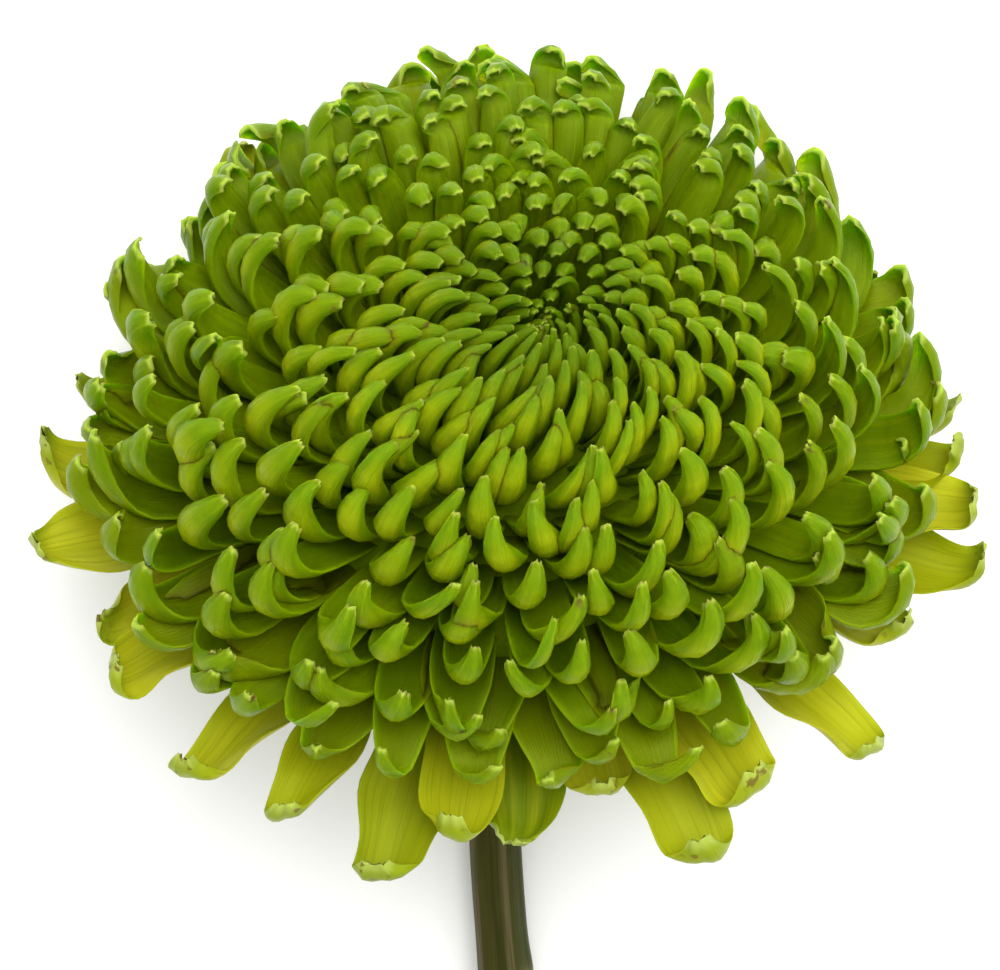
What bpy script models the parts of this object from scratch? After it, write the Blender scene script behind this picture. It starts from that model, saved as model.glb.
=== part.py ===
"""Disbud chrysanthemum: one large green bloom on a cut stem, laid down on a flat surface.

The bloom is worked out upright, in its own head frame: z runs up its axis, x to the right and y away
from the stem's cut end. It is then tipped forward and set down on the rim of its outermost florets and
on its stem. Lengths are in millimetres until a mesh is made, angles are in degrees in the tables.
"""

import math
import random

import bpy
import numpy as np

MM = 0.001
SEED = 4
GOLDEN_ANGLE = math.radians(137.50776)

# The bloom's pose: how far its axis leans over from upright, and how high its heart is off the surface.
HEAD_TILT = math.radians(40)
HEAD_HEIGHT = 26.0
# Where the heart stands over the surface, so that the origin is the middle of the whole object's footprint.
HEAD_X = 0.5
HEAD_Y = 43.8
# A floret that comes down on the surface is bent to lie along it, this far under it before it is cut flat.
PRESS_DEPTH = 0.4
PRESS_EASE = 1.2

# The receptacle, which every floret grows from.
RECEPTACLE_RADIUS = 9.0
RECEPTACLE_HEIGHT = 7.0
RECEPTACLE_FOOT = 0.8

# The green florets in steps from the outermost (age 0) to the innermost (age 1):
# age, tip radius, tip height, bend, hook, where along the floret the hook starts, width.
GREEN_COUNT = 300
GREEN_STEPS = (
    (0.00, 53.5, 4.0, 0.0, 80.0, 0.74, 9.0),
    (0.07, 51.8, 8.5, 0.0, 88.0, 0.70, 7.8),
    (0.17, 47.6, 15.0, 2.0, 96.0, 0.66, 6.6),
    (0.27, 42.5, 20.5, 4.0, 104.0, 0.64, 5.6),
    (0.38, 36.0, 24.0, 8.0, 106.0, 0.63, 5.0),
    (0.53, 27.0, 26.5, 16.0, 102.0, 0.62, 4.4),
    (0.70, 17.5, 28.3, 20.0, 96.0, 0.62, 3.6),
    (0.85, 9.5, 28.6, 20.0, 86.0, 0.62, 2.8),
    (0.93, 4.8, 27.6, 16.0, 66.0, 0.62, 2.1),
    (1.00, 0.5, 25.5, 10.0, 20.0, 0.62, 1.5),
)
GREEN_LOWEST = math.radians(89)
# How the florets of the far rim, and those of the near rim above the stem, differ from the others.
FAR_STRAIGHTER = 0.32
FAR_HOOK_START = 0.87
FAR_SPREAD = 1.4
FAR_LONGER = 0.03
FAR_NARROWER = 0.20
NEAR_LATER = 0.12
NEAR_SHORTER = 0.14
NEAR_WIDER = 0.06
BALL_AGE = 0.45
EYE_AGE = 0.80
ROOT_SHARE = 0.3

# The broad yellowing florets of the outermost ring, in two overlapping rows.
# Each floret: direction, tip radius, width, roll about its own length.
YELLOW_FLORETS = (
    (2, 57.5, 8.0, 0), (10, 57.5, 9.5, -20), (30, 55.0, 9.5, 0), (47, 52.5, 9.0, 10), (66, 52.5, 9.5, 0),
    (81, 57.0, 10.0, 0), (98, 57.0, 10.0, 10), (114, 56.0, 10.0, 0), (129, 58.0, 10.0, -10),
    (148, 57.0, 10.0, 0), (167, 56.0, 9.0, 0), (178, 60.5, 10.0, 15), (190, 60.5, 11.0, 0),
    (199, 54.5, 8.0, -20), (210, 57.0, 10.0, 10), (226, 56.5, 9.5, 35), (240, 55.0, 8.5, 15),
    (254, 56.0, 11.0, 0), (262, 51.0, 10.0, -10), (271, 49.5, 12.0, 0), (284, 46.5, 9.5, 0),
    (295, 57.0, 10.5, 0), (303, 53.0, 12.0, -10), (321, 57.5, 9.5, -30), (335, 54.0, 10.0, -20),
    (349, 60.5, 9.5, 0), (356, 58.5, 10.0, 0),
)
YELLOW_ROOT_RADIUS = 9.0
YELLOW_ROOT_HEIGHT = -3.4
YELLOW_ANGLE = math.radians(90)
YELLOW_ROW_STEP = math.radians(3.5)
YELLOW_HOOK = math.radians(62)
YELLOW_HOOK_START = 0.81
YELLOW_HUB_RADIUS = 12.0
YELLOW_HUB_TOP = -2.2
YELLOW_HUB_BOTTOM = -5.0

# The solid heart that the green florets stand out of: radius and height down its outline.
CORE_OUTLINE = ((9.0, 20.5), (17.0, 18.5), (25.0, 15.0), (30.0, 11.0), (33.5, 6.0), (32.5, 1.0), (9.0, -1.9))
CORE_TOP = 21.0
CORE_BOTTOM = -1.9
CORE_SIDES = 24

# How the whole head is drawn out of round: the far rim stands up, and the heart leans to the right.
RIM_RISE = 0.17
RIM_RADIUS = 50.0
EYE_SHIFT = 6.0
EYE_HEIGHT = 30.0
EYE_REACH = 1.3

# The cup of bracts under the head. Each row: count, root radius, root height, length, angle, width.
CUP_TOP = -5.35
CUP_OUTLINE = ((9.8, -5.35), (9.6, -7.0), (7.8, -9.3), (5.2, -11.3), (4.0, -12.0))
CUP_BOTTOM = -12.0
BRACT_ROWS = (
    (13, 7.5, -7.6, 7.6, 80.0, 4.6),
    (13, 5.4, -10.0, 7.4, 70.0, 4.4),
    (9, 3.4, -11.5, 6.2, 62.0, 4.0),
)
BRACT_KEEL = 0.2

# The stem: it bends under the head, then lies along the surface to a plain cut end.
STEM_RADIUS = 3.3
STEM_NECK_RADIUS = 3.7
STEM_NECK_LENGTH = 9.0
STEM_GAP = 0.35
STEM_LIE_HEIGHT = 3.05
STEM_END = -96.2
STEM_SWAY = 2.2
STEM_SIDES = 20
STEM_RINGS = 40
STEM_RIBS = 5
STEM_RIB_SHARE = 0.035
STEM_BEND_STEPS = 200
# Leaf scars on the stem: place along y, side (+1 right, -1 left).
STEM_NODES = ((-22.2, 1.0), (-68.2, -1.0))
STEM_NODE_SHARE = 0.13
STEM_NODE_REACH = 4.0

# A blade's cross-section: its depth for its width, and how narrow and how shallow it is at its root.
KEEL_SHARE = 0.29
KEEL_LEAST = 0.85
CLAW_SHARE = 0.34
CLAW_DEPTH = 0.6
YELLOW_DEPTH = 1.6
# Where a blade has its full width, and where and by how much its beak narrows in two steps.
LIMB_START = 0.7
BEAK_STEPS = ((0.70, 0.24, 0.22), (0.92, 0.09, 0.45))


def smooth(x):
    x = np.clip(x, 0.0, 1.0)
    return x * x * (3.0 - 2.0 * x)


def turn_of(s, floret):
    """The angle between the floret and the head's axis at the share s of its length."""
    hooked = smooth((s - floret["hook_start"]) / (1.02 - floret["hook_start"]))
    return floret["angle"] - floret["bend"] * s - floret["hook"] * hooked


def run_of(floret, until=1.0, steps=40):
    """How far out and up the floret reaches, for a length of 1."""
    s = (np.arange(steps) + 0.5) * until / steps
    turn = turn_of(s, floret)
    return np.sin(turn).sum() * until / steps, np.cos(turn).sum() * until / steps


def green_floret(age, around):
    """The floret whose tip lies on the outline of the bloom for its age.

    On the far side florets are longer and stand up straighter, and there and on the near side, where they
    are short and broad, they bend nearer the tip.
    """
    far = max(math.sin(around), 0.0) * (1.0 - age)
    near = max(-math.sin(around), 0.0) ** 3 * (1.0 - age)
    ages = [step[0] for step in GREEN_STEPS]
    tip_r, tip_z, bend, hook, hook_start, width = (
        float(np.interp(age, ages, [step[k] for step in GREEN_STEPS])) for k in range(1, 7)
    )
    start = hook_start + NEAR_LATER * near
    floret = {
        "age": age,
        "around": around,
        "angle": 0.0,
        "bend": math.radians(bend),
        "hook": math.radians(hook) * (1.0 - FAR_STRAIGHTER * far),
        "hook_start": start + (FAR_HOOK_START - start) * min(FAR_SPREAD * far, 1.0),
        "width": width * (1.0 + NEAR_WIDER * near - FAR_NARROWER * far),
        "root_r": RECEPTACLE_RADIUS * math.sqrt(1.0 - age * age),
        "root_z": RECEPTACLE_HEIGHT * age + RECEPTACLE_FOOT * (1.0 - age),
    }
    out, up = run_of(floret)
    reach_r = tip_r * (1.0 + FAR_LONGER * far - NEAR_SHORTER * near) - floret["root_r"]
    reach_z = tip_z - floret["root_z"]
    floret["length"] = math.hypot(reach_r, reach_z) / math.hypot(out, up)
    floret["angle"] = math.atan2(reach_r, reach_z) - math.atan2(out, up)
    return floret


def green_florets():
    """All green florets in one spiral of golden angles, each a little unlike its neighbours."""
    rnd = random.Random(SEED)
    florets = []
    for i in range(GREEN_COUNT):
        age = i / (GREEN_COUNT - 1)
        floret = green_floret(age, i * GOLDEN_ANGLE + rnd.gauss(0, 0.03))
        loose = 1.0 - 0.6 * age
        floret["length"] *= 1.0 + loose * rnd.gauss(0, 0.035)
        floret["angle"] = min(floret["angle"] + loose * math.radians(rnd.gauss(0, 1.8)), GREEN_LOWEST)
        floret["hook"] *= 1.0 + loose * rnd.gauss(0, 0.09)
        floret["hook_start"] += rnd.gauss(0, 0.015)
        floret["width"] *= 1.0 + rnd.gauss(0, 0.08)
        floret["swirl"] = rnd.gauss(0, 0.02 + 0.02 * (1.0 - age))
        floret["twist"] = loose * rnd.gauss(0, 0.25)
        floret["keel"] = KEEL_SHARE
        floret["claw"] = CLAW_SHARE
        florets.append(floret)
    return florets


def yellow_florets():
    rnd = random.Random(SEED + 1)
    florets = []
    for i, (direction, tip_radius, width, roll) in enumerate(YELLOW_FLORETS):
        floret = {
            "around": math.radians(direction),
            "angle": YELLOW_ANGLE + YELLOW_ROW_STEP * (i % 2) + math.radians(rnd.uniform(0, 1.5)),
            "bend": math.radians(rnd.uniform(-3, 1)),
            "hook": YELLOW_HOOK * (1 + rnd.gauss(0, 0.2)),
            "hook_start": YELLOW_HOOK_START + rnd.uniform(-0.04, 0.03),
            "width": width,
            "root_r": YELLOW_ROOT_RADIUS,
            "root_z": YELLOW_ROOT_HEIGHT,
            "swirl": 0.0,
            "twist": math.radians(roll),
            "keel": YELLOW_DEPTH / width,
            "claw": CLAW_SHARE,
        }
        floret["length"] = (tip_radius - YELLOW_ROOT_RADIUS) / run_of(floret)[0]
        florets.append(floret)
    return florets


def width_at(s, claw_share):
    """The floret's width along its length: a narrow claw, a broad limb and a blunt beak."""
    claw = claw_share + (1.0 - claw_share) * smooth(s / LIMB_START)
    beak = 1.0 - sum(loss * smooth((s - start) / reach) for start, reach, loss in BEAK_STEPS)
    return claw * beak


def section(floret, s):
    """Left edge, right edge, keel and tip place of the floret's blade at the share s of its length."""
    out, up = run_of(floret, s) if s > 0 else (0.0, 0.0)
    r = floret["root_r"] + floret["length"] * out
    z = floret["root_z"] + floret["length"] * up
    turn = float(turn_of(s, floret))
    around = floret["around"] + floret["swirl"] * s * s
    outward = np.array([math.cos(around), math.sin(around), 0.0])
    sideways = np.array([-math.sin(around), math.cos(around), 0.0])
    upward = np.array([0.0, 0.0, 1.0])
    inward = -math.cos(turn) * outward + math.sin(turn) * upward
    twist = floret["twist"] * s * s
    across = math.cos(twist) * sideways + math.sin(twist) * inward
    face = math.cos(twist) * inward - math.sin(twist) * sideways
    middle = r * outward + z * upward
    share = float(width_at(s, floret["claw"]))
    half = 0.5 * floret["width"] * share
    depth = max(floret["keel"] * floret["width"], KEEL_LEAST) * (CLAW_DEPTH + (1.0 - CLAW_DEPTH) * share)
    rim = middle + face * depth
    return rim - across * half, rim + across * half, middle, middle + face * 0.5 * depth


def blade(floret, stations):
    """A closed three-sided finger along the floret: flat towards the heart and keeled on its back."""
    points = []
    spine = []
    for s in stations:
        left, right, keel, _ = section(floret, s)
        points += [left, right, keel]
        spine += [keel] * 3
    tip_keel, tip_place = section(floret, 1.0)[2:]
    points.append(tip_place)
    spine.append(tip_keel)
    faces = [(0, 1, 2)]
    for k in range(0, 3 * len(stations) - 3, 3):
        for a, b in ((0, 1), (1, 2), (2, 0)):
            faces.append((k + a, k + a + 3, k + b + 3))
            faces.append((k + a, k + b + 3, k + b))
    k = 3 * len(stations) - 3
    tip = len(points) - 1
    faces += [(k, tip, k + 1), (k + 1, tip, k + 2), (k + 2, tip, k)]
    return laid_down(np.array(points), np.array(spine)), faces


def bracts():
    """The bracts of the cup, row by row, each row turned half a step from the one above."""
    made = []
    for row, (count, root_r, root_z, length, angle, width) in enumerate(BRACT_ROWS):
        for i in range(count):
            made.append({
                "around": 2 * math.pi * (i + 0.5 * row) / count,
                "angle": math.radians(angle),
                "bend": 0.0,
                "hook": math.radians(24),
                "hook_start": 0.5,
                "width": width,
                "root_r": root_r,
                "root_z": root_z,
                "length": length,
                "swirl": 0.0,
                "twist": 0.0,
                "keel": BRACT_KEEL,
                "claw": 1.0,
            })
    return made


def green_blade(floret):
    start = floret["hook_start"]
    if floret["age"] > EYE_AGE:
        return blade(floret, (ROOT_SHARE, start + 0.50 * (1 - start)))
    if floret["age"] > BALL_AGE:
        return blade(floret, (ROOT_SHARE, start + 0.05, start + 0.60 * (1 - start)))
    return blade(floret, (ROOT_SHARE, start - 0.02, start + 0.38 * (1 - start), start + 0.72 * (1 - start)))


def yellow_blade(floret):
    return blade(floret, (0.0, 0.45, 0.80, 0.93))


def bract_blade(bract):
    return blade(bract, (0.0, 0.6))


def drawn_out(points):
    """The head drawn out of round: its far rim lifted and its heart shifted to the right."""
    x, y, z = points.T
    r = np.hypot(x, y)
    lean = np.clip(z / EYE_HEIGHT, 0, EYE_REACH) ** 2 * np.clip(1 - r / RIM_RADIUS, 0, 1)
    return np.column_stack([x + EYE_SHIFT * lean, y, z + RIM_RISE * y * r / RIM_RADIUS])


def tipped(points):
    """Head frame to the object's own frame."""
    x, y, z = drawn_out(points).T
    c, s = math.cos(HEAD_TILT), math.sin(HEAD_TILT)
    return np.column_stack([HEAD_X + x, HEAD_Y + c * y + s * z, HEAD_HEIGHT + c * z - s * y])


def laid_down(points, spine):
    """Places a floret, lifted as a whole where its spine would sink into the surface."""
    placed = tipped(points)
    height = tipped(spine)[:, 2] + PRESS_DEPTH
    placed[:, 2] += PRESS_EASE * np.logaddexp(0.0, height / PRESS_EASE) - height
    return placed


def turned_outline(outline, top, bottom, sides):
    """A closed solid of revolution, with a pole at each end."""
    points = [(0.0, 0.0, top)]
    for r, z in outline:
        for k in range(sides):
            a = 2 * math.pi * k / sides
            points.append((r * math.cos(a), r * math.sin(a), z))
    points.append((0.0, 0.0, bottom))
    faces = []
    last = len(points) - 1
    for k in range(sides):
        n = (k + 1) % sides
        faces.append((0, 1 + k, 1 + n))
        for ring in range(len(outline) - 1):
            a = 1 + ring * sides
            faces.append((a + k, a + sides + k, a + sides + n, a + n))
        a = 1 + (len(outline) - 1) * sides
        faces.append((a + k, last, a + n))
    return np.array(points), faces


def volume_of(points, faces):
    total = 0.0
    for face in faces:
        for k in range(1, len(face) - 1):
            total += np.dot(points[face[0]], np.cross(points[face[k]], points[face[k + 1]]))
    return total


def solid(name, points, faces, collection=None):
    """An object of this closed shape, with its faces pointing outwards."""
    if volume_of(points, faces) < 0:
        faces = [tuple(reversed(face)) for face in faces]
    mesh = bpy.data.meshes.new(name)
    mesh.from_pydata((points * MM).tolist(), [], faces)
    obj = bpy.data.objects.new(name, mesh)
    (collection or bpy.context.scene.collection).objects.link(obj)
    return obj


def fused(base, shapes):
    """Joins each (points, faces) of shapes to base with one Boolean union, and applies it."""
    helpers = bpy.data.collections.new(base.name + "_helpers")
    bpy.context.scene.collection.children.link(helpers)
    for points, faces in shapes:
        solid("helper", points, faces, helpers)
    union = base.modifiers.new("florets", "BOOLEAN")
    union.operation = "UNION"
    union.operand_type = "COLLECTION"
    union.collection = helpers
    union.solver = "MANIFOLD"
    apply_modifiers(base)
    for helper in list(helpers.objects):
        bpy.data.objects.remove(helper)
    bpy.data.collections.remove(helpers)
    return base


def apply_modifiers(obj):
    graph = bpy.context.evaluated_depsgraph_get()
    mesh = bpy.data.meshes.new_from_object(obj.evaluated_get(graph))
    obj.modifiers.clear()
    obj.data = mesh


def cut_at_surface(obj):
    """Takes off what reaches below z = 0, which leaves flat spots that the object rests on."""
    reach = 300.0
    deep = 40.0
    corners = [(x, y, z) for x in (-reach, reach) for y in (-reach, reach) for z in (-deep, 0.0)]
    sides = [(0, 1, 3, 2), (4, 6, 7, 5), (0, 4, 5, 1), (2, 3, 7, 6), (0, 2, 6, 4), (1, 5, 7, 3)]
    cutter = solid("surface_cutter", np.array(corners), sides)
    cut = obj.modifiers.new("surface", "BOOLEAN")
    cut.operation = "DIFFERENCE"
    cut.object = cutter
    cut.solver = "MANIFOLD"
    apply_modifiers(obj)
    bpy.data.objects.remove(cutter)


def material(name, color, roughness):
    made = bpy.data.materials.new(name)
    made.use_nodes = True
    shader = made.node_tree.nodes["Principled BSDF"]
    shader.inputs["Base Color"].default_value = (*color, 1.0)
    shader.inputs["Roughness"].default_value = roughness
    made.diffuse_color = (*color, 1.0)
    return made


def finish(obj, finish_material):
    obj.data.materials.clear()
    obj.data.materials.append(finish_material)


def make_green_florets():
    points, faces = turned_outline(CORE_OUTLINE, CORE_TOP, CORE_BOTTOM, CORE_SIDES)
    core = solid("green_florets", tipped(points), faces)
    fused(core, [green_blade(floret) for floret in green_florets()])
    cut_at_surface(core)
    finish(core, material("green_floret", (0.17, 0.27, 0.006), 0.45))


def make_yellow_florets():
    outline = (
        (YELLOW_HUB_RADIUS - 1.0, YELLOW_HUB_TOP),
        (YELLOW_HUB_RADIUS, YELLOW_HUB_TOP - 0.6),
        (YELLOW_HUB_RADIUS - 1.5, YELLOW_HUB_BOTTOM),
    )
    points, faces = turned_outline(outline, YELLOW_HUB_TOP, YELLOW_HUB_BOTTOM, CORE_SIDES)
    hub = solid("yellow_florets", tipped(points), faces)
    fused(hub, [yellow_blade(floret) for floret in yellow_florets()])
    cut_at_surface(hub)
    finish(hub, material("yellow_floret", (0.42, 0.45, 0.012), 0.5))


def make_involucre():
    points, faces = turned_outline(CUP_OUTLINE, CUP_TOP, CUP_BOTTOM, CORE_SIDES)
    cup = solid("involucre", tipped(points), faces)
    fused(cup, [bract_blade(bract) for bract in bracts()])
    finish(cup, material("bract", (0.10, 0.15, 0.02), 0.55))


def stem_route():
    """Points down the middle of the stem and its slope at each, from the cup to the cut end."""
    down = STEM_GAP - CUP_BOTTOM
    start = tipped(np.array([[0.0, 0.0, -down]]))[0]
    steepest = math.pi / 2 - HEAD_TILT
    shares = (np.arange(STEM_BEND_STEPS) + 0.5) / STEM_BEND_STEPS
    fall = np.sin(steepest * (1 - smooth(shares))).mean()
    bend_length = (start[2] - STEM_LIE_HEIGHT) / fall
    bend_reach = bend_length * np.cos(steepest * (1 - smooth(shares))).mean()
    length = bend_length + (start[1] - bend_reach - STEM_END)
    step = length / STEM_RINGS
    route = []
    place = start.copy()
    for ring in range(STEM_RINGS + 1):
        share = ring / STEM_RINGS
        slope = steepest * (1 - float(smooth(share * length / bend_length)))
        sway = -STEM_SWAY * math.sin(2 * math.pi * share) * float(smooth(share / 0.2))
        route.append((place + np.array([sway, 0.0, 0.0]), slope, share * length))
        next_slope = steepest * (1 - float(smooth((share * length + 0.5 * step) / bend_length)))
        place = place - step * np.array([0.0, math.cos(next_slope), math.sin(next_slope)])
    return route


def stem_radius(place, along, angle):
    """The ribbed stem's radius at an angle round it, wider at its neck and at each leaf scar."""
    radius = STEM_RADIUS + (STEM_NECK_RADIUS - STEM_RADIUS) * (1 - float(smooth(along / STEM_NECK_LENGTH)))
    radius *= 1 + STEM_RIB_SHARE * math.cos(STEM_RIBS * angle)
    for node_y, side in STEM_NODES:
        near = math.exp(-(((place[1] - node_y) / STEM_NODE_REACH) ** 2))
        radius *= 1 + STEM_NODE_SHARE * near * (0.35 + 0.65 * max(side * math.cos(angle), 0.0))
    return radius


def make_stem():
    points = []
    side = np.array([1.0, 0.0, 0.0])
    for place, slope, along in stem_route():
        up = np.array([0.0, math.sin(slope), -math.cos(slope)])
        for k in range(STEM_SIDES):
            angle = 2 * math.pi * k / STEM_SIDES
            reach = stem_radius(place, along, angle)
            points.append(place + reach * (math.cos(angle) * side + math.sin(angle) * up))
    faces = [tuple(range(STEM_SIDES))]
    for ring in range(STEM_RINGS):
        a = ring * STEM_SIDES
        for k in range(STEM_SIDES):
            n = (k + 1) % STEM_SIDES
            faces.append((a + k, a + STEM_SIDES + k, a + STEM_SIDES + n, a + n))
    faces.append(tuple(reversed(range(STEM_RINGS * STEM_SIDES, (STEM_RINGS + 1) * STEM_SIDES))))
    stem = solid("stem", np.array(points), faces)
    cut_at_surface(stem)
    finish(stem, material("stem_skin", (0.045, 0.045, 0.012), 0.6))


def remove_startup_objects():
    for obj in list(bpy.data.objects):
        bpy.data.objects.remove(obj)


def main():
    remove_startup_objects()
    make_green_florets()
    make_yellow_florets()
    make_involucre()
    make_stem()


main()
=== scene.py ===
"""The looks of a green disbud chrysanthemum, laid down on a pale surface and seen from straight above."""

import math
import random

import bpy
import numpy as np
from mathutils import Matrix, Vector


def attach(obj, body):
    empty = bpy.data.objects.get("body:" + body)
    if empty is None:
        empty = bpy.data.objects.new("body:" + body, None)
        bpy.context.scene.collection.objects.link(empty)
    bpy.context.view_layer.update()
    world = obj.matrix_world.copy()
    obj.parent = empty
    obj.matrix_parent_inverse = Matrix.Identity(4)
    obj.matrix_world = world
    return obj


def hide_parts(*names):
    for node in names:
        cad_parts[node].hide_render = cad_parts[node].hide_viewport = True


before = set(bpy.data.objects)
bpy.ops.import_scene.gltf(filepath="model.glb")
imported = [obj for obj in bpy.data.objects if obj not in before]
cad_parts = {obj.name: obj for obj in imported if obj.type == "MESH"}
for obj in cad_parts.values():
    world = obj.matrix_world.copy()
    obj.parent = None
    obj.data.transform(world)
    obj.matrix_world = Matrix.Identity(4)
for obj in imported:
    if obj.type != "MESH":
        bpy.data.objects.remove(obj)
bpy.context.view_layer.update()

MM = 0.001
SEED = 4
GOLDEN_ANGLE = math.radians(137.50776)

# The bloom's pose, as in the solids: its axis leans over by the tilt, its heart is at this place.
HEAD_TILT = math.radians(40)
HEAD_PLACE = (0.5 * MM, 43.8 * MM, 26.0 * MM)
REST_DEPTH = 0.4 * MM
REST_EASE = 1.2 * MM
PRESS_EASE = 0.25 * MM
RIM_RISE = 0.17
RIM_RADIUS = 50 * MM
EYE_SHIFT = 6 * MM
EYE_HEIGHT = 30 * MM

RECEPTACLE_RADIUS = 9.0
RECEPTACLE_HEIGHT = 7.0
RECEPTACLE_FOOT = 0.8

# The green florets from the outermost (age 0) to the innermost (age 1), in millimetres and degrees:
# age, tip radius, tip height, bend, hook, where along the floret the hook starts, width.
GREEN_COUNT = 470
GREEN_STEPS = (
    (0.00, 53.5, 4.0, 0.0, 80.0, 0.74, 9.6),
    (0.07, 51.8, 8.5, 0.0, 88.0, 0.70, 8.0),
    (0.17, 47.6, 15.0, 2.0, 96.0, 0.66, 6.6),
    (0.27, 42.5, 20.5, 4.0, 104.0, 0.64, 5.6),
    (0.38, 36.0, 24.0, 8.0, 106.0, 0.63, 5.0),
    (0.53, 27.0, 26.5, 16.0, 102.0, 0.62, 4.4),
    (0.70, 17.5, 28.3, 20.0, 96.0, 0.62, 3.7),
    (0.85, 9.5, 28.6, 20.0, 86.0, 0.62, 3.0),
    (0.93, 4.8, 27.6, 16.0, 66.0, 0.62, 2.3),
    (1.00, 0.5, 25.5, 10.0, 20.0, 0.62, 1.5),
)
GREEN_LOWEST = math.radians(89)
FAR_STRAIGHTER = 0.32
FAR_HOOK_START = 0.87
FAR_SPREAD = 1.4
FAR_LONGER = 0.03
FAR_NARROWER = 0.25
NEAR_LATER = 0.17
NEAR_SHORTER = 0.14
NEAR_WIDER = 0.06
GREEN_THICK = 0.8
# Green florets whose tip would come through a neighbour's blade, which are shortened by this share.
PIERCING = (139,)
PIERCING_SHORTER = 0.1
OUTER_AGE = 0.5
JAG_LEAST = 0.3
JAG_FULL_AGE = 0.3
# How tightly the inner florets keep to their form, and how much wider they are on the far side.
INNER_TIGHTER = 0.6
INNER_FAR_WIDER = 0.5
TIP_TURN = 0.2
TIP_LEAN = 0.02
# The form of the green florets: its plain value, and what the far side, the near side and the rim add to it.
GREEN_FORM = {
    "cup": (2.4, 0.0, -0.8, 0.0),
    "fill": (0.85, 0.75, -0.35, 0.0),
    "hood": (0.55, 0.3, 0.2, 0.0),
    "beak": (0.52, -0.38, 0.20, 0.03),
}
# How much the green florets differ from one another: at the heart, and what the rim adds.
GREEN_SCATTER = {
    "around": (0.04, 0.0),
    "length": (0.030, 0.0),
    "angle": (2.4, 0.0),
    "hook": (0.12, 0.0),
    "hook_start": (0.015, 0.0),
    "width": (0.08, 0.0),
    "swirl": (0.03, 0.03),
    "twist": (0.25, 0.0),
    "tip_turn": (0.22, 0.25),
    "lean": (0.02, 0.03),
    "cup": (0.2, 0.0),
    "fill": (0.12, 0.0),
    "hood": (0.2, 0.0),
    "beak": (0.05, 0.0),
}

# The broad florets of the outermost ring: direction, tip radius, width, roll on their own length.
YELLOW_FLORETS = (
    (2, 57.5, 8.0, 0), (10, 57.5, 9.5, -20), (30, 55.0, 9.5, 0), (47, 52.5, 9.0, 10), (66, 52.5, 9.5, 0),
    (81, 57.0, 10.0, 0), (98, 57.0, 10.0, 10), (114, 56.0, 10.0, 0), (129, 58.0, 10.0, -10),
    (148, 57.0, 10.0, 0), (167, 56.0, 9.0, 0), (178, 60.5, 10.0, 15), (190, 60.5, 11.0, 0),
    (199, 54.5, 8.0, -20), (210, 57.0, 10.0, 10), (226, 56.5, 9.5, 35), (240, 55.0, 8.5, 15),
    (254, 56.0, 11.0, 0), (262, 51.0, 10.0, -10), (271, 49.5, 12.0, 0), (284, 46.5, 9.5, 0),
    (295, 57.0, 10.5, 0), (303, 53.0, 12.0, -10), (321, 57.5, 9.5, -30), (335, 54.0, 10.0, -20),
    (349, 60.5, 9.5, 0), (356, 58.5, 10.0, 0),
)
YELLOW_ROOT_RADIUS = 9.0
YELLOW_ROOT_HEIGHT = -3.4
YELLOW_ANGLE = math.radians(90)
YELLOW_ROW_STEP = math.radians(3.5)
YELLOW_HOOK = math.radians(62)
YELLOW_HOOK_START = 0.81
YELLOW_THICK = 0.65
YELLOW_FILL = 0.1
# Least and most of what differs from one broad floret to the next, the first two in degrees.
YELLOW_RISE = (0, 1.5)
YELLOW_BEND = (-3, 1)
YELLOW_HOOK_SHIFT = (-0.04, 0.03)
YELLOW_CUP = (1.3, 2.0)
YELLOW_HOOD = (0.5, 1.3)
YELLOW_BEAK = (0.45, 0.62)
YELLOW_HOOK_SCATTER = 0.2
YELLOW_TIP_SCATTER = 0.3
YELLOW_LEAN_SCATTER = 0.02
# The direction over the stem where every second broad floret is green, and how far round that reaches.
GREENEST_DIRECTION = 270
GREENER_REACH = 45

# The form of every floret along its length, in shares of it.
CLAW_SHARE = 0.34
CLAW_END = 0.7
HOOK_END = 1.02
HOOD_START = 0.87
BEAK_START = 0.72
BEAK_POWER = 1.4
TIP_ROUNDING = 0.7
STATION_CROWDING = 1.7
CUP_AT_ROOT = 0.75
CUP_GAIN = 0.35
CUP_GAIN_SPAN = (0.45, 0.95)
FLESH_RISE = (0.2, 0.7)
FLESH_FALL = (0.86, 0.98)
THIN_START = 0.85
GROOVES_RISE = (0.15, 0.4)
WAVES_RISE = (0.3, 0.7)
WAVES_ALONG = 26.0
TEETH_START = 0.965
TEETH_ACROSS = 7.0
SMALL_TEETH_ACROSS = 13.0
SMALL_TEETH = 0.6
PUCKER_RISE = (0.92, 0.98)
PUCKER_ACROSS = 11.0
PUCKER_ALONG = 60.0
KEEL_SHARPNESS = 8.0
KEEL_RISE = (0.2, 0.5)

# The cup of bracts under the head. Each row: count, root radius, root height, length, angle, width.
CUP_OUTLINE = ((0.0, -5.35), (9.8, -5.35), (9.6, -7.0), (7.8, -9.3), (5.2, -11.3), (4.0, -12.0), (0.0, -12.0))
BRACT_ROWS = (
    (13, 7.5, -7.6, 7.6, 80.0, 4.6),
    (13, 5.4, -10.0, 7.4, 70.0, 4.4),
    (9, 3.4, -11.5, 6.2, 62.0, 4.0),
)
BRACT_HOOK = math.radians(24)
BRACT_HOOK_START = 0.5
BRACT_CUP = 1.1
BRACT_FILL = 0.3
BRACT_BEAK = 0.6
BRACT_THICK = 0.7
GOLDEN_SHARE = 0.618

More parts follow.
